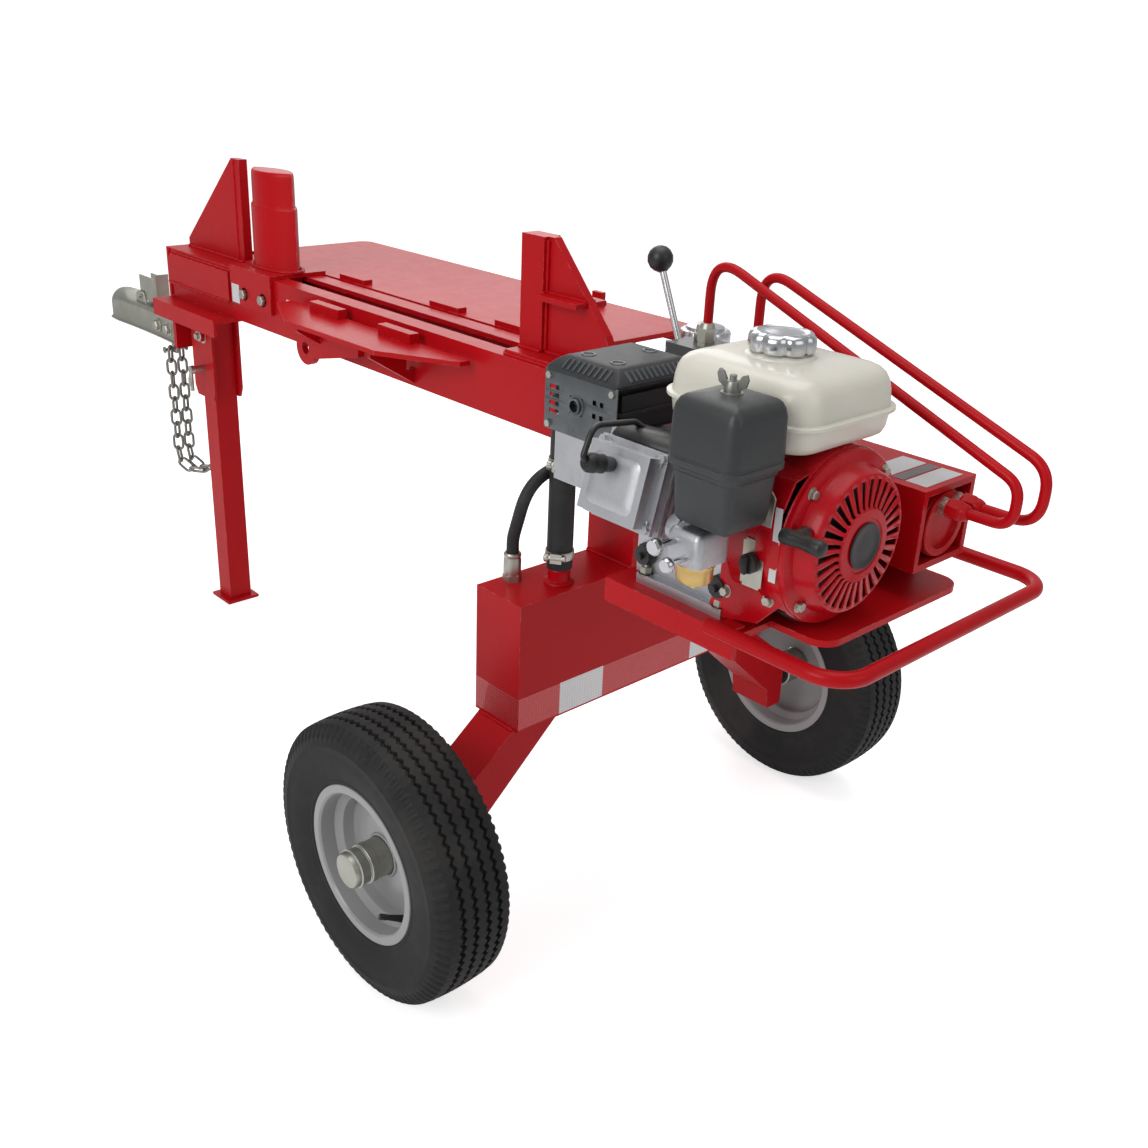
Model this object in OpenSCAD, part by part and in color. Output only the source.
// Tow-behind hydraulic log splitter, two-way wedge on a hollow beam.
// Units mm. X runs forward to the hitch, Y to the left wheel, Z up.
// Origin: on the ground, under the beam centre line, between the two wheels.
// The ram is drawn at full stroke.

/* [Beam] */
// width of the hollow beam
beam_width = 106; // [90:1:130]
// underside height of the beam
beam_bottom = 689; // [650:1:740]
// top height of the beam
beam_top = 789; // [740:1:840]
// beam wall thickness
beam_wall = 8; // [5:0.5:10]
// rear end of the beam
beam_rear = -495; // [-560:1:-450]
// front end of the beam
beam_front = 1340; // [1200:1:1400]

/* [Ram] */
// stroke of the wedge
stroke = 600; // [400:10:600]
// cylinder bore radius
bore_r = 35; // [30:0.5:36]
// rod radius
rod_r = 17.5; // [12:0.5:20]
// wedge length along the beam
wedge_length = 150; // [120:1:160]
// wedge height above its slide plate
wedge_height = 180; // [140:1:200]
// running clearance on round fits
fit = 0.05; // [0.02:0.01:0.09]

/* [Wheels] */
// half track, centre line to wheel centre
track = 442; // [420:1:470]
// tyre outer radius
tyre_r = 203; // [190:1:215]
// tyre half width
tyre_half_width = 59; // [50:1:60]
// wheel spindle radius
spindle_r = 12.5; // [10:0.5:15]

/* [Axle tank] */
// tank half length across the machine
tank_half_y = 257; // [230:1:262]
// tank half depth
tank_half_x = 47; // [40:1:60]
// tank underside height
tank_bottom = 343; // [320:1:360]
// tank top height
tank_top = 537; // [520:1:560]

/* [Jack leg] */
// distance of the leg ahead of the axle
leg_x = 1262; // [1240:1:1275]
// square tube width
leg_width = 50.8; // [45:0.1:54]
// leg pivot height
leg_pivot_z = 615; // [600:1:630]

/* [Engine] */
// crankshaft side offset from the beam
crank_y = 182; // [178:1:190]
// crankshaft height
crank_z = 761; // [755:1:770]
// engine foot height
foot_z = 655; // [650:1:656]
// radius of the fan shroud
shroud_r = 98; // [90:1:100]

/* [Coupler] */
// hitch ball radius
ball_r = 25.4; // [23:0.1:26]
// ball centre ahead of the axle
ball_x = 1695; // [1680:1:1710]
// ball centre height
ball_z = 590; // [585:1:595]

/* [Hidden] */
$fn = 64;
paint = "firebrick";
plate = 8; // thickness of the flat frame plates
beam_half = beam_width / 2;
beam_mid_z = (beam_bottom + beam_top) / 2;
deck_z = beam_top + plate; // top of the plates lying on the beam

// ---------- helpers ----------
module box(x0, x1, y0, y1, z0, z1) {
  translate([x0, y0, z0]) cube([x1 - x0, y1 - y0, z1 - z0]);
}
// cylinders along each axis: start, end, then the other two coordinates
module cyl_x(x0, x1, y, z, r) {
  translate([x0, y, z]) rotate([0, 90, 0]) cylinder(r = r, h = x1 - x0);
}
module cyl_y(y0, y1, x, z, r) {
  translate([x, y0, z]) rotate([-90, 0, 0]) cylinder(r = r, h = y1 - y0);
}
module cyl_z(z0, z1, x, y, r) { translate([x, y, z0]) cylinder(r = r, h = z1 - z0); }
// hexagonal prisms, r to the corners
module hex_x(x0, x1, y, z, r) { cyl_x(x0, x1, y, z, r, $fn = 6); }
module hex_y(y0, y1, x, z, r) { cyl_y(y0, y1, x, z, r, $fn = 6); }
module hex_z(z0, z1, x, y, r) { cyl_z(z0, z1, x, y, r, $fn = 6); }
// plate with an [x, z] outline, thickness in Y
module plate_xz(y0, y1, points) {
  translate([0, y1, 0]) rotate([90, 0, 0]) linear_extrude(y1 - y0) polygon(points);
}
// plate with a [y, z] outline, thickness in X
module plate_yz(x0, x1, points) {
  translate([x0, 0, 0]) rotate([90, 0, 90]) linear_extrude(x1 - x0) polygon(points);
}
// the children and their mirror image on the right
module both_sides() { for (s = [0, 1]) mirror([0, s, 0]) children(); }
// round bar between two points
module bar(from, to, r) {
  d = to - from;
  length = norm(d);
  translate(from) rotate([0, acos(d.z / length), atan2(d.y, d.x)]) cylinder(r = r, h = length);
}
function unit(v) = v / norm(v);
// tube along a list of corner points, every corner a true bend
module pipe(points, bend_r, r) {
  last = len(points) - 1;
  function toward(i, j) = unit(points[j] - points[i]);
  // angle the tube turns through at corner i
  function turn(i) = 180 - acos(toward(i, i - 1) * toward(i, i + 1));
  // length taken from each leg by the bend at corner i
  function cut(i) = (i <= 0 || i >= last) ? 0 : bend_r * tan(turn(i) / 2);
  for (i = [0 : last - 1]) {
    along = toward(i, i + 1);
    bar(points[i] + along * cut(i), points[i + 1] - along * cut(i + 1), r);
  }
  if (last > 1) for (i = [1 : last - 1]) {
    back = toward(i, i - 1);
    ahead = toward(i, i + 1);
    centre = points[i] + unit(back + ahead) * bend_r / cos(turn(i) / 2);
    start = points[i] + back * cut(i) - centre;
    end = points[i] + ahead * cut(i) - centre;
    // frame of the bend: u to its start, w along its axis
    u = unit(start);
    w = unit(cross(start, end));
    v = cross(w, u);
    multmatrix([
      [u.x, v.x, w.x, centre.x],
      [u.y, v.y, w.y, centre.y],
      [u.z, v.z, w.z, centre.z],
      [0, 0, 0, 1]
    ]) rotate_extrude(angle = turn(i)) translate([bend_r, 0]) circle(r = r);
  }
}
// rounded rectangle, centred outline
module rounded_rect(x, y, r) {
  square([x - 2 * r, y], center = true);
  square([x, y - 2 * r], center = true);
  for (i = [-1, 1]) for (j = [-1, 1]) translate([i * (x / 2 - r), j * (y / 2 - r)]) circle(r = r);
}

// ---------- frame ----------
slot_half = 19; // slot in the beam top
shelf_rear = 1075;
shelf_front = 1336;
shelf_half = 100;
shelf_bottom = beam_bottom - plate;
coupler_bolts_x = [1420, 1470];
coupler_bolt_z = 598;
bolt_hole_r = 6.4;
// heights of the table and wing brackets on the beam side
bracket_bottom = 694;
bracket_step = 716;
table_bottom = beam_top - plate;
wing_bottom = 761;
wing_top = wing_bottom + plate;
// places of the tank top openings, [x, y]
filler = [-20, -100];
suction = [-14, 160];
return_port = [30, 208];
hose_bore_r = 12.5;

module main_beam() color(paint) {
  difference() {
    box(beam_rear, beam_front, -beam_half, beam_half, beam_bottom, beam_top);
    box(beam_rear - 1, beam_front + 1, -beam_half + beam_wall, beam_half - beam_wall,
      beam_bottom + beam_wall, beam_top - beam_wall);
    box(262, 1092, -slot_half, slot_half, beam_top - beam_wall - 1, beam_top + 1);
    // cross holes, [x, radius]
    for (hole = [[-455, 15], [-380, 7], [-120, 7]])
      cyl_y(-beam_half - 1, beam_half + 1, hole[0], beam_mid_z, hole[1]);
  }
  // front end plate and tongue
  box(beam_front, beam_front + 12, -beam_half, beam_half, 574, beam_top);
  difference() {
    box(beam_front + 12, 1500, -27, 27, 578, 618);
    box(beam_front + 11, 1501, -22, 22, 583, 613);
    for (x = coupler_bolts_x) cyl_y(-28, 28, x, coupler_bolt_z, bolt_hole_r);
  }
  // shelf plate with side lips under the front of the beam
  box(shelf_rear, shelf_front, -shelf_half, shelf_half, shelf_bottom, beam_bottom);
  both_sides()
    box(shelf_rear, shelf_front, shelf_half - 6, shelf_half, beam_bottom - 34, shelf_bottom);
}
module front_anvil() color(paint) {
  top = 985;
  box(1100, 1120, -9, 9, beam_top, top);
  // gusset plate sloping down to the end of the beam
  plate_xz(-7, 7, [[1120, beam_top], [1120, top], [1134, top], [shelf_front, 806],
    [shelf_front, beam_top]]);
  // cheek plates on the beam sides
  both_sides() plate_xz(beam_half, beam_half + 9,
    [[shelf_rear, 722], [shelf_rear, 780], [1318, 780], [1330, 768], [1330, 722]]);
}
module rear_anvil() color(paint) {
  rear = 200;
  front = 250;
  top = 967;
  box(rear, front, -16, 16, deck_z, top);
  // sloping gusset, cross rib and base flange
  plate_xz(-7, 7, [[rear, deck_z], [rear, top], [188, top], [73, 845], [60, 820], [60, deck_z]]);
  box(112, rear, -30, 30, 878, 886);
  box(40, front, -45, 45, beam_top, deck_z);
}
module log_table() color(paint) {
  rear = 215;
  corner_r = 24;
  corner_x = 1191;
  corner_y = -333;
  outer_y = corner_y - corner_r;
  difference() {
    union() {
      box(rear, corner_x + corner_r, corner_y, -64, table_bottom, beam_top);
      box(rear, corner_x, outer_y, corner_y, table_bottom, beam_top);
      translate([corner_x, corner_y, table_bottom]) cylinder(r = corner_r, h = plate);
    }
    // notch at the front inner corner
    box(1130, corner_x + corner_r + 1, -72, -63, table_bottom - 1, beam_top + 1);
  }
  // turned-down outer edge
  box(rear, 1185, outer_y, outer_y + 7, beam_top - 34, table_bottom);
  // raised support pads along the inner edge
  for (x = [330, 510, 795]) box(x, x + 80, -86, -66, beam_top, beam_top + 9);
  // brackets down to the beam side
  for (x = [300, 660, 1000]) plate_yz(x, x + 10,
    [[-beam_half, bracket_bottom], [-beam_half, bracket_step], [-72, bracket_step],
     [-72, table_bottom], [-345, table_bottom], [-345, 765]]);
  // raised stop near the outer edge
  box(430, 455, -340, -330, beam_top, beam_top + 22);
}
module side_wing() color(paint) {
  translate([0, 0, wing_bottom]) linear_extrude(plate)
    polygon([[310, 64], [310, 84], [440, 152], [700, 158], [830, 96], [830, 64]]);
  // raised pads
  for (x = [440, 650]) box(x, x + 90, 66, 84, wing_top, 786);
  // brackets down to the beam side
  for (x = [470, 690]) plate_yz(x, x + 10,
    [[beam_half, bracket_bottom], [beam_half, bracket_step], [70, bracket_step],
     [70, wing_bottom], [140, wing_bottom], [140, 748]]);
  // hanging lug with a round eye
  lug_x = 740;
  eye_z = 704;
  difference() {
    union() {
      cyl_y(84, 96, lug_x, eye_z, 30);
      box(lug_x - 28, lug_x + 28, 84, 96, 706, wing_bottom);
    }
    cyl_y(83, 97, lug_x, eye_z, 11);
  }
  plate_xz(84, 96, [[572, 722], [572, 740], [640, wing_bottom], [700, wing_bottom],
    [711, 740], [711, 690]]);
}
module axle_tank() color(paint) difference() {
  wall = 4;
  union() {
    box(-tank_half_x, tank_half_x, -tank_half_y, tank_half_y, tank_bottom, tank_top);
    // pedestal carrying the beam
    for (x = [-tank_half_x, tank_half_x - plate])
      box(x, x + plate, -48, 48, tank_top, beam_bottom);
    both_sides() box(-tank_half_x, tank_half_x, 40, 48, tank_top, beam_bottom);
  }
  box(-tank_half_x + wall, tank_half_x - wall, -tank_half_y + wall, tank_half_y - wall,
    tank_bottom + wall, tank_top - wall);
  // top openings, [place, radius]
  for (hole = [[filler, 17], [suction, hose_bore_r], [return_port, 7]])
    cyl_z(tank_top - 5, tank_top + 1, hole[0].x, hole[0].y, hole[1]);
  // hole low in the right end
  cyl_y(-tank_half_y - 1, -tank_half_y + 5, 0, tank_bottom + 20, 6);
}
drop_leg_y = track - 80; // outer face of the drop legs
module drop_legs() color(paint) both_sides() plate_yz(-38, 38,
  [[170, tank_bottom], [tank_half_y, tank_bottom], [drop_leg_y - 10, 268], [drop_leg_y, 245],
   [drop_leg_y, 168], [drop_leg_y - 34, 168], [drop_leg_y - 40, 205]]);
module spindles() color("silver") both_sides() {
  nut_y = track + 48;
  cyl_y(drop_leg_y, drop_leg_y + 7, 0, tyre_r, 24);
  cyl_y(drop_leg_y + 7, nut_y, 0, tyre_r, spindle_r);
  // nut and round end
  hex_y(nut_y, nut_y + 10, 0, tyre_r, 15);
  cyl_y(nut_y + 10, nut_y + 13, 0, tyre_r, 8);
}
module engine_plate() color(paint) {
  bottom = foot_z - plate;
  corner_r = 26;
  corner_x = -479;
  right_corner_y = -22;
  left_corner_y = 196;
  left_y = left_corner_y + corner_r;
  difference() {
    union() {
      box(corner_x, -230, -48, left_y, bottom, foot_z);
      box(-230, -60, -48, 48, bottom, foot_z);
      // rear edge with round corners
      box(corner_x - corner_r, corner_x, right_corner_y, left_corner_y, bottom, foot_z);
      for (y = [right_corner_y, left_corner_y]) cyl_z(bottom, foot_z, corner_x, y, corner_r);
      // side extensions
      box(-430, -230, left_y, 285, bottom, foot_z);
      box(-430, -230, -112, -48, bottom, foot_z);
    }
    // engine bolt holes
    for (x = [-365, -290]) for (y = [crank_y - 55, crank_y + 55])
      cyl_z(bottom - 1, foot_z + 1, x, y, 4.5);
  }
  // channel sides welded under the beam
  both_sides() box(-440, -60, 40, 48, foot_z, beam_bottom);
  // stiffening lip
  box(-430, -230, 279, 285, foot_z - 30, bottom);
  // block against the tank pedestal
  box(-60, -tank_half_x, -48, 48, foot_z - 60, foot_z);
}
module guard_bar() color(paint) {
  z = foot_z + 5;
  left_y = 295;
  rear_x = -578;
  right_y = -118;
  pipe([[-400, left_y, z], [rear_x, left_y, z], [rear_x, right_y, z], [-440, right_y, z]],
    bend_r = 42, r = 9);
  // tabs to the engine plate
  box(-425, -402, 262, left_y, z - 5, z);
  box(-442, -430, right_y, -48, z - 5, z);
}

// ---------- hydraulics ----------
barrel_rear = -470;
barrel_front = 190;
barrel_r = 41;
cap_rear = -490; // rear face of the cylinder base
gland_front = 215;
port_z = 764; // ports in the cylinder base
fitting_rear = -512;
valve_top = 870;
valve_left_y = 30;
fitting_top = valve_top + 14;
// hard tubes, valve to cylinder base: [y, route of [x, z] points]
tube_routes = [
  [12, [[-120, fitting_top], [-120, 925], [-138, 960], [-172, 974], [-550, 826], [-571, 812],
    [-579, 793], [-571, 774], [-552, port_z], [fitting_rear, port_z]]],
  [-17, [[-180, fitting_top], [-180, 918], [-196, 954], [-228, 968], [-558, 846], [-583, 833],
    [-596, 812], [-590, 788], [-572, 770], [-548, port_z], [fitting_rear, port_z]]]
];

module cylinder_barrel() color("dimgray") difference() {
  cyl_x(barrel_rear, barrel_front, 0, beam_mid_z, barrel_r);
  cyl_x(barrel_rear - 1, barrel_front + 1, 0, beam_mid_z, bore_r);
}
module cylinder_base() color("dimgray") difference() {
  union() {
    cyl_x(cap_rear, barrel_rear, 0, beam_mid_z, barrel_r);
    cyl_x(barrel_rear, barrel_rear + 7, 0, beam_mid_z, bore_r);
  }
  for (tube = tube_routes) cyl_x(cap_rear - 1, cap_rear + 15, tube[0], port_z, 5);
}
module cylinder_gland() color("gray") difference() {
  cyl_x(barrel_front, gland_front, 0, beam_mid_z, barrel_r);
  cyl_x(barrel_front - 1, gland_front + 1, 0, beam_mid_z, rod_r + fit);
}
// tube with ball corners; every other leg is a hair thinner and the balls a little larger
module ball_tube(points, r) {
  last = len(points) - 1;
  for (i = [0 : last - 1]) bar(points[i], points[i + 1], r - 0.05 * (i % 2));
  for (i = [1 : last - 1]) translate(points[i]) sphere(r = r + 0.4);
}
module hard_tubes() color(paint) {
  $fn = 32;
  for (tube = tube_routes) ball_tube([for (p = tube[1]) [p.x, tube[0], p.y]], 6.3);
}
module tube_fittings() color("silver") for (tube = tube_routes) {
  y = tube[0];
  valve_x = tube[1][0].x;
  hex_x(cap_rear - 10, cap_rear, y, port_z, 11.5);
  cyl_x(fitting_rear, cap_rear - 10, y, port_z, 10);
  hex_z(valve_top, fitting_top, valve_x, y, 12);
}

valve_rear = -215;
valve_front = -66;
spool_y = -18;
spool_z = 830;
spool_bore_r = 9;
lever_x = -46; // lever pivot
lever_z = 852;
module valve_body() color("dimgray") {
  difference() {
    box(valve_rear, valve_front, -36, valve_left_y, deck_z, valve_top);
    cyl_x(valve_rear - 1, -60, spool_y, spool_z, spool_bore_r);
  }
  cyl_x(valve_rear - 20, valve_rear, spool_y, spool_z, 17);
  // mounting foot
  box(-205, -75, -45, 45, beam_top, deck_z);
  // lever clevis
  difference() {
    for (y = [-19, 13]) box(valve_front, -38, spool_y + y, spool_y + y + 6, 815, 862);
    cyl_y(spool_y - 20, spool_y + 20, lever_x, lever_z, 3.98);
  }
}
module valve_spool() color("silver") cyl_x(-200, -52, spool_y, spool_z, spool_bore_r - fit);
module valve_lever() color("silver") translate([0, spool_y, 0]) {
  cyl_y(-12.5, 12.5, lever_x, lever_z, 8);
  cyl_y(-22, 22, lever_x, lever_z, 3.9);
  bar([lever_x, 0, lever_z], [-3, 0, 955], 5);
  translate([0, 0, 964]) sphere(r = 18);
}

neck_top = 840;
module filler_neck() color(paint) difference() {
  union() {
    cyl_z(tank_top, neck_top, filler.x, filler.y, 22);
    cyl_z(neck_top - 6, neck_top, filler.x, filler.y, 30);
  }
  cyl_z(tank_top - 1, neck_top + 1, filler.x, filler.y, 18);
}
module filler_cap() color("silver") {
  cyl_z(neck_top + 0.5, 862, filler.x, filler.y, 36);
  cyl_z(862, 868, filler.x, filler.y, 28);
}

hose_r = 18.5;
elbow_r = 32;
inlet_z = 767; // pump inlet
inlet_front = -50;
module suction_hose() color("black") {
  hose_bottom = 565;
  elbow_x = suction.x - elbow_r;
  elbow_z = inlet_z - elbow_r;
  difference() {
    cyl_z(hose_bottom, elbow_z, suction.x, suction.y, hose_r);
    cyl_z(hose_bottom - 1, elbow_z + 1, suction.x, suction.y, hose_bore_r);
  }
  translate([elbow_x, suction.y, elbow_z]) rotate([90, 0, 0])
    rotate_extrude(angle = 90) translate([elbow_r, 0]) circle(r = hose_r);
  cyl_x(inlet_front, elbow_x, suction.y, inlet_z, hose_r);
  // stub on the tank
  difference() {
    cyl_z(tank_top, hose_bottom, suction.x, suction.y, 16);
    cyl_z(tank_top - 1, hose_bottom + 1, suction.x, suction.y, hose_bore_r);
  }
}
module pressure_hose() color("black") {
  x = -115;
  valve_z = 835;
  fitting_y = valve_left_y + 12;
  pipe([[x, 140, 761], [x, 78, 761], [x, 78, valve_z], [x, fitting_y, valve_z]],
    bend_r = 24, r = 9);
  hex_y(valve_left_y, fitting_y, x, valve_z, 12);
}
module return_hose() color("black") {
  x = return_port.x;
  y = return_port.y;
  beam_side_y = 78;
  valve_x = -84;
  valve_z = 812;
  fitting_y = valve_left_y + 12;
  fitting_z = tank_top + 12;
  pipe([[x, y, fitting_z], [x, y, 690], [x, beam_side_y, 690], [x, beam_side_y, valve_z],
    [valve_x, beam_side_y, valve_z], [valve_x, fitting_y, valve_z]], bend_r = 24, r = 8.5);
  hex_z(tank_top, fitting_z, x, y, 12);
  hex_y(valve_left_y, fitting_y, valve_x, valve_z, 10);
}
module hose_clamps() color("silver") for (z = [575, 712]) difference() {
  union() {
    cyl_z(z, z + 12, suction.x, suction.y, hose_r + 2);
    box(suction.x - 16, suction.x + 16, suction.y + 18, suction.y + 30, z, z + 12);
  }
  cyl_z(z - 1, z + 13, suction.x, suction.y, hose_r);
}

// ---------- engine and pump ----------
crank_r = 12;
pump_rear = -170;
pump_front = -66;
pump_half = 42;
flange_x = -186; // joint of pump and bracket
// cylinder on the crankshaft axis
module crank_cyl(x0, x1, r) { cyl_x(x0, x1, crank_y, crank_z, r); }
// frame on the crankshaft axis, Y along the raised engine cylinder
module slant() { translate([0, crank_y, crank_z]) rotate([15, 0, 0]) children(); }

module gear_pump() color("gray") difference() {
  union() {
    box(pump_rear, pump_front, crank_y - pump_half, crank_y + pump_half,
      crank_z - pump_half, crank_z + pump_half);
    cyl_x(pump_front, inlet_front, suction.y, inlet_z, 20);
    crank_cyl(flange_x, pump_rear, 30);
  }
  crank_cyl(flange_x - 1, -90, crank_r + fit);
}
module pump_bracket() color("gray") difference() {
  rear = -250;
  half = 52;
  union() {
    crank_cyl(rear, flange_x, half);
    box(flange_x - 9, flange_x, crank_y - half, crank_y + half, crank_z - half, crank_z + half);
  }
  crank_cyl(rear - 1, flange_x - 8, 44);
  crank_cyl(flange_x - 9, flange_x + 1, 29);
  // three side windows
  for (a = [0, 120, 240]) translate([-222, crank_y, crank_z]) rotate([a, 0, 0])
    translate([0, 0, 45]) cube([36, 34, 30], center = true);
}
module engine_block() color("silver") difference() {
  union() {
    box(-400, -250, crank_y - 72, crank_y + 72, foot_z + 8, 822);
    box(-392, -262, crank_y - 78, crank_y + 84, foot_z, foot_z + 12);
    // cylinder with cooling fins
    slant() {
      box(-352, -262, 60, 158, -38, 44);
      for (y = [84 : 9 : 150]) box(-356, -256, y, y + 3.5, -46, 54);
    }
  }
  crank_cyl(-386, -264, 50);
  crank_cyl(-402, -248, crank_r + fit);
}
module valve_cover() color("silver") slant() {
  box(-355, -257, 158, 163, -42, 46);
  box(-349, -263, 163, 184, -36, 40);
  for (x = [-350, -262]) for (z = [-36, 40]) hex_y(163, 169, x, z, 5);
}
module spark_plug() color("black") slant() {
  cyl_y(184, 200, -300, 20, 8);
  cyl_y(200, 224, -300, 20, 11);
}

shroud_rear = -472;
shroud_front = -402;
starter_x = -490;
starter_z = 790;
module fan_shroud() color(paint) difference() {
  union() {
    crank_cyl(shroud_rear, shroud_front, shroud_r);
    box(shroud_rear, shroud_front, crank_y - 60, crank_y + 98, crank_z - 10, 852);
  }
  crank_cyl(shroud_rear - 1, shroud_front - 3, shroud_r - 4);
  crank_cyl(shroud_front - 4, shroud_front + 2, 22);
}
module recoil_cover() color(paint) difference() {
  rim_rear = shroud_rear - 6;
  union() {
    crank_cyl(rim_rear, shroud_rear, shroud_r);
    crank_cyl(-502, rim_rear, 78);
    crank_cyl(-508, -502, 40);
  }
  crank_cyl(-496, shroud_rear + 1, 74);
  // ring of air slots
  for (a = [0 : 20 : 359]) translate([-480, crank_y, crank_z]) rotate([a, 0, 0])
    translate([-23, -3.5, 46]) cube([30, 7, 24]);
  // side hole in line with the starter handle
  cyl_y(crank_y + 50, crank_y + 80, starter_x, starter_z, 3);
}
module starter_handle() color("black") {
  cyl_y(259, 281, starter_x, starter_z, 7);
  cyl_x(-532, -476, 287, starter_z, 8.5);
}
module crankshaft() color("gray") {
  coupling_mid = -206;
  crank_cyl(-466, coupling_mid, crank_r);
  // flywheel
  difference() {
    crank_cyl(-455, -425, 84);
    crank_cyl(-456, -424, crank_r);
  }
  // shaft coupling
  difference() {
    crank_cyl(-232, -196, 25);
    crank_cyl(-233, coupling_mid, crank_r);
    crank_cyl(coupling_mid, -195, crank_r);
  }
  // pump shaft
  crank_cyl(coupling_mid, -100, crank_r);
}

outlet_x = -142; // muffler outlet
outlet_z = 838;
muffler_top = 872;
module muffler() color("dimgray") {
  difference() {
    box(-205, -92, 122, 258, 814, muffler_top);
    cyl_y(251, 259, outlet_x, outlet_z, 9);
  }
  box(-250, -205, 180, 230, 815, 845);
}
module muffler_shield() color("gray") difference() {
  union() {
    box(-209, -88, 118, 260.5, muffler_top, muffler_top + 3);
    box(-209, -88, 258, 260.5, 800, 874);
    plate_yz(-197, -100, [[130, 874], [148, 887], [230, 887], [248, 874]]);
  }
  for (x = [-198, -184, -118, -104]) box(x, x + 7, 257, 262, 820, 856);
  cyl_y(257, 262, outlet_x, outlet_z, 12);
}
module carburettor() color("silver") {
  slant() {
    cyl_y(118, 150, -412, -18, 14);
    box(-430, -394, 112, 156, -36, -22);
  }
}

stud = [-430, 328]; // air cleaner stud, [x, y]
cleaner_joint_z = 862;
// block that fills the cleaner cover
module cleaner_inside(z0, z1) { box(-472, -389, 288, 368, z0, z1); }
module air_cleaner_base() color("dimgray") {
  box(-470, -391, 292, 366, 798, 858);
  cleaner_inside(858, cleaner_joint_z);
}
module air_cleaner_cover() color("dimgray") {
  difference() {
    box(-476, -385, 284, 372, cleaner_joint_z, 932);
    cleaner_inside(cleaner_joint_z - 1, 928);
    cyl_z(925, 935, stud.x, stud.y, 4);
  }
  cyl_z(cleaner_joint_z, 931.5, stud.x, stud.y, 3.9);
}
module wing_nut() color("silver") {
  cyl_z(933, 944, stud.x, stud.y, 9);
  box(stud.x - 17, stud.x + 17, stud.y - 2, stud.y + 2, 936, 952);
}

fuel_cap_at = [-378, 190]; // [x, y]
module fuel_tank() color("wheat") {
  centre = [-382, 188];
  bottom = 860;
  top = bottom + 80;
  difference() {
    translate([centre.x, centre.y, bottom]) linear_extrude(80) rounded_rect(196, 176, 26);
    translate([centre.x, centre.y, bottom + 4]) linear_extrude(72) rounded_rect(188, 168, 24);
    cyl_z(top - 6, top + 2, fuel_cap_at.x, fuel_cap_at.y, 24);
  }
  // seam flange
  translate([centre.x, centre.y, 892]) linear_extrude(3.5) difference() {
    rounded_rect(208, 188, 30);
    rounded_rect(194, 174, 26);
  }
  // neck ring
  difference() {
    cyl_z(top, top + 4, fuel_cap_at.x, fuel_cap_at.y, 30);
    cyl_z(top - 1, top + 5, fuel_cap_at.x, fuel_cap_at.y, 24);
  }
}
module fuel_cap() color("silver") difference() {
  cyl_z(944.5, 966, fuel_cap_at.x, fuel_cap_at.y, 36);
  // grip scallops
  for (a = [0 : 45 : 359]) translate([fuel_cap_at.x, fuel_cap_at.y, 940]) rotate([0, 0, a])
    translate([40, 0, 0]) cylinder(r = 9, h = 34);
}
module throttle_lever() color("silver") {
  cyl_y(280.2, 287, -440, 800, 7);
  box(-443, -437, 283, 287, 804, 830);
}
module engine_switch() color("black") {
  cyl_y(281, 291, -440, 745, 11);
  box(-444, -436, 291, 297, 735, 755);
}

// ---------- hitch ----------
coupler_half = 34;
coupler_bottom = 572;
coupler_top = 628;
socket_r = ball_r + 0.6;
latch_x = 1574; // latch pivot
latch_z = 642;
latch_pin_r = 4;
module coupler_body() color("silver") {
  difference() {
    union() {
      box(1376, 1668, -coupler_half, coupler_half, coupler_bottom, coupler_top);
      cyl_z(coupler_bottom, 615, ball_x, 0, coupler_half);
      translate([ball_x, 0, 606]) sphere(r = coupler_half);
    }
    box(1375, 1668, -28, 28, coupler_bottom - 1, coupler_top - 6);
    translate([ball_x, 0, ball_z]) sphere(r = socket_r);
    cyl_z(560, ball_z, ball_x, 0, socket_r);
    box(1667, ball_x, -14, 14, coupler_bottom - 1, 596);
    box(1560, 1586, -9, 9, 620, coupler_top + 1);
    for (x = coupler_bolts_x) cyl_y(-36, 36, x, coupler_bolt_z, bolt_hole_r);
  }
  // latch ears
  difference() {
    for (y = [-20, 16]) box(1548, 1600, y, y + 4, coupler_top, 652);
    cyl_y(-21, 21, latch_x, latch_z, latch_pin_r + fit);
  }
  // bolts to the tongue
  for (x = coupler_bolts_x) {
    cyl_y(-coupler_half, coupler_half, x, coupler_bolt_z, 6.2);
    for (y = [-coupler_half - 8, coupler_half]) hex_y(y, y + 8, x, coupler_bolt_z, 10);
  }
}
module coupler_latch() color("silver") {
  cyl_y(-26, 26, latch_x, latch_z, latch_pin_r);
  box(1500, 1586, -12, 12, 646.5, 652);
  for (y = [-15.5, 12]) box(1504, 1582, y, y + 3.5, 637, 690);
  box(1500, 1504, -15.5, 15.5, 650, 700);
}
module coupler_clamp() color("gray") {
  box(1640, 1666, -12, 12, 578, 600);
  cyl_y(-13, 13, 1642, 606, 6);
}

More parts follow.
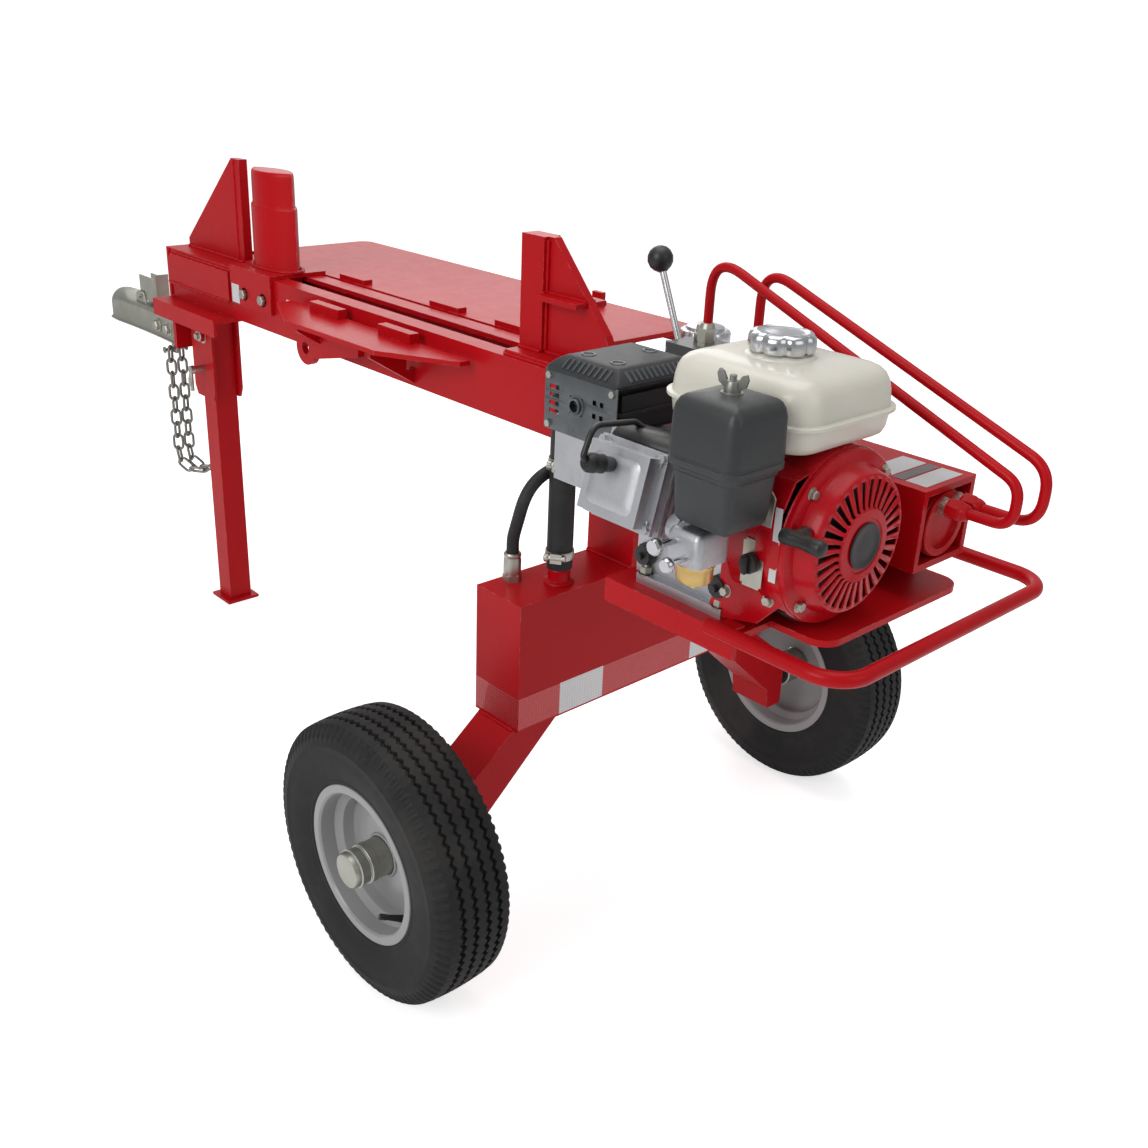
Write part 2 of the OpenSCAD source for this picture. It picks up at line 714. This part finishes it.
leg_bolt_r = 8;
lock_pin_z = 545;
module leg_bracket() color(paint) {
  both_sides() difference() {
    plate_xz(27, 33, [[1222, shelf_bottom], [1222, 500], [1230, 480], [1300, 480], [1310, 500],
      [1310, shelf_bottom]]);
    cyl_y(26, 34, leg_x, leg_pivot_z, leg_bolt_r + fit);
    cyl_y(26, 34, leg_x, lock_pin_z, 7.1);
  }
  box(1304, 1310, -27, 27, 500, shelf_bottom);
  // pivot bolt
  cyl_y(-33, 33, leg_x, leg_pivot_z, leg_bolt_r);
  for (y = [-41, 33]) hex_y(y, y + 8, leg_x, leg_pivot_z, 13);
}
module jack_leg() color(paint) {
  half = leg_width / 2;
  inner = half - 4;
  foot = 6;
  difference() {
    box(leg_x - half, leg_x + half, -half, half, foot, 640);
    box(leg_x - inner, leg_x + inner, -inner, inner, foot + 1, 641);
    cyl_y(-half - 1, half + 1, leg_x, leg_pivot_z, leg_bolt_r + fit);
  }
  box(leg_x - 38, leg_x + 38, -38, 38, 0, foot);
}
module lock_pin() color("silver") {
  cyl_y(26, 60, leg_x, lock_pin_z, 7);
  bar([leg_x, 64, lock_pin_z], [leg_x, 64, 500], 4);
  cyl_y(58, 66, leg_x, lock_pin_z, 9);
}

// ---------- safety chains ----------
link_pitch = 21.8;
link_r = 8; // wire centre line radius of the link ends
wire_r = 2.5;
straight = 12; // straight side of a link
chain_x = 1396;
module chain_link() rotate([90, 0, 0]) {
  for (a = [0, 180]) rotate([0, 0, a]) translate([0, straight / 2, 0])
    rotate_extrude(angle = 180, $fn = 24) translate([link_r, 0]) circle(r = wire_r, $fn = 16);
  for (s = [-1, 1]) translate([link_r * s, -straight / 2, 0]) rotate([-90, 0, 0])
    cylinder(r = wire_r, h = straight, $fn = 16);
}
// neighbouring links stand at right angles
module quarter_turn(i) { rotate([0, 0, 45 + 90 * (i % 2)]) children(); }
// one chain: down, round the bottom of a U and up to its end ring, in the local XZ plane
module chain() {
  top_z = 552;
  down = 11; // links in each part
  around = 6;
  up = 5;
  step = 180 / around;
  arc_r = link_pitch / (2 * sin(step / 2));
  mid_r = arc_r * cos(step / 2); // radius to the middle of an arc link
  arc_z = top_z + link_pitch / 2 - down * link_pitch;
  for (i = [0 : down - 1]) translate([0, 0, top_z - i * link_pitch])
    quarter_turn(i) chain_link();
  for (i = [0 : around - 1]) {
    a = 180 + step / 2 + step * i;
    translate([arc_r + mid_r * cos(a), 0, arc_z + mid_r * sin(a)]) rotate([0, -a, 0])
      quarter_turn(down + i) chain_link();
  }
  for (i = [0 : up - 1]) translate([2 * arc_r, 0, arc_z + link_pitch / 2 + i * link_pitch])
    quarter_turn(down + around + i) chain_link();
  translate([2 * arc_r, 0, arc_z + link_pitch / 2 + (up - 1) * link_pitch + 18])
    quarter_turn(down + around + up) rotate([90, 0, 0])
      rotate_extrude($fn = 32) translate([10, 0]) circle(r = 3, $fn = 16);
}
module safety_chain() color("silver") {
  pin_z = 559.5;
  for (y = [44, 18]) translate([chain_x, y, 0]) rotate([0, 0, atan2(-64, -56)]) chain();
  // carrier pin in an ear under the coupler
  cyl_y(4, 58, chain_x, pin_z, 3.2);
  cyl_y(4, 8, chain_x, pin_z, 7);
  cyl_y(54.5, 58, chain_x, pin_z, 7);
  box(chain_x - 12, chain_x + 12, 28, coupler_half, 550, coupler_bottom);
}

// ---------- ram ----------
wedge_rear = 316 + stroke;
wedge_front = wedge_rear + wedge_length;
rod_end = wedge_rear + 10;
nut_rear = stroke - 462;
piston_rear = nut_rear + 12;
piston_front = piston_rear + 36;
// outline of two arcs meeting in a point at each end
module lens(half_length, half_width) {
  r = (pow(half_length, 2) + pow(half_width, 2)) / (2 * half_width);
  intersection() {
    translate([0, r - half_width]) circle(r = r, $fn = 180);
    translate([0, half_width - r]) circle(r = r, $fn = 180);
  }
}
module wedge() color(paint) {
  lower = 118; // height of the wider part
  half = wedge_length / 2;
  translate([wedge_rear + half, 0, deck_z]) linear_extrude(lower) lens(half, 34);
  translate([wedge_rear + half, 0, deck_z + lower])
    linear_extrude(wedge_height - lower) lens(half - 6, 31);
}
module wedge_slide() color(paint) {
  gap = 0.5; // to the beam
  outer = 61;
  bottom = beam_top + gap;
  box(wedge_rear, wedge_front, -outer, outer, bottom, deck_z);
  both_sides() box(wedge_rear, wedge_front, beam_half + gap, outer, 724, bottom);
  // tongue through the beam slot
  box(rod_end, wedge_front - 40, -15, 15, 715, bottom);
}
module cylinder_rod() color("silver") {
  cyl_x(piston_front, rod_end, 0, beam_mid_z, rod_r);
  cyl_x(nut_rear, piston_front, 0, beam_mid_z, 11.9);
}
module piston() color("gray") {
  hole_r = 12;
  difference() {
    cyl_x(piston_rear, piston_front, 0, beam_mid_z, bore_r - fit);
    cyl_x(piston_rear - 1, piston_front + 1, 0, beam_mid_z, hole_r);
  }
  difference() {
    hex_x(nut_rear, piston_rear, 0, beam_mid_z, 20);
    cyl_x(nut_rear - 1, piston_rear + 1, 0, beam_mid_z, hole_r);
  }
}

// ---------- wheels ----------
// sections, [radius, distance outward from the wheel centre plane]
rim_section = [
  [114, 50], [114, 47], [103, 46], [101.6, 24], [90, 16], [90, -16], [101.6, -24],
  [103, -46], [114, -47], [114, -50], [100, -49], [98, -26], [86, -18], [86, -3],
  [70, 2], [48, 8], [28.1, 8], [28.1, 12], [50, 12], [72, 6], [86, 2], [86, 18],
  [98, 26], [100, 49]
];
tyre_section = [
  [104, 45], [117, 46], [135, 55], [158, tyre_half_width], [182, 57], [195, 51],
  [tyre_r - 2, 38], [tyre_r, 0], [tyre_r - 2, -38], [195, -51], [182, -57],
  [158, -tyre_half_width], [135, -55], [117, -46], [104, -45], [104, -37], [122, -41],
  [158, -50], [186, -45], [193, 0], [186, 45], [158, 50], [122, 41], [104, 37]
];
// wheel frames, Z outward along the spindle
module left_wheel() { translate([0, track, tyre_r]) rotate([-90, 0, 0]) children(); }
module right_wheel() { mirror([0, 1, 0]) left_wheel() children(); }
module ring(section) { rotate_extrude($fn = 96) polygon(section); }
module hub() {
  difference() {
    union() {
      cyl_z(-46, 46, 0, 0, 28);
      cyl_z(12.1, 17.1, 0, 0, 40);
    }
    cyl_z(-47, 47, 0, 0, spindle_r + fit);
  }
  // outer cap
  difference() {
    cyl_z(46, 72, 0, 0, 25);
    cyl_z(45, 68, 0, 0, 20);
  }
}
module rim_left() color("lightgray") left_wheel() ring(rim_section);
module rim_right() color("lightgray") right_wheel() ring(rim_section);
module tyre_left() color("black") left_wheel() ring(tyre_section);
module tyre_right() color("black") right_wheel() ring(tyre_section);
module hub_left() color("silver") left_wheel() hub();
module hub_right() color("silver") right_wheel() hub();

main_beam();
front_anvil();
rear_anvil();
log_table();
side_wing();
axle_tank();
drop_legs();
spindles();
engine_plate();
guard_bar();
cylinder_barrel();
cylinder_base();
cylinder_gland();
hard_tubes();
tube_fittings();
valve_body();
filler_neck();
suction_hose();
pressure_hose();
return_hose();
hose_clamps();
gear_pump();
pump_bracket();
engine_block();
valve_cover();
fan_shroud();
recoil_cover();
muffler();
muffler_shield();
air_cleaner_base();
air_cleaner_cover();
carburettor();
fuel_tank();
spark_plug();
coupler_body();
leg_bracket();
safety_chain();
wedge();
wedge_slide();
cylinder_rod();
piston();
rim_left();
rim_right();
tyre_left();
tyre_right();
hub_left();
hub_right();
jack_leg();
lock_pin();
coupler_latch();
coupler_clamp();
valve_lever();
valve_spool();
fuel_cap();
filler_cap();
wing_nut();
throttle_lever();
engine_switch();
starter_handle();
crankshaft();
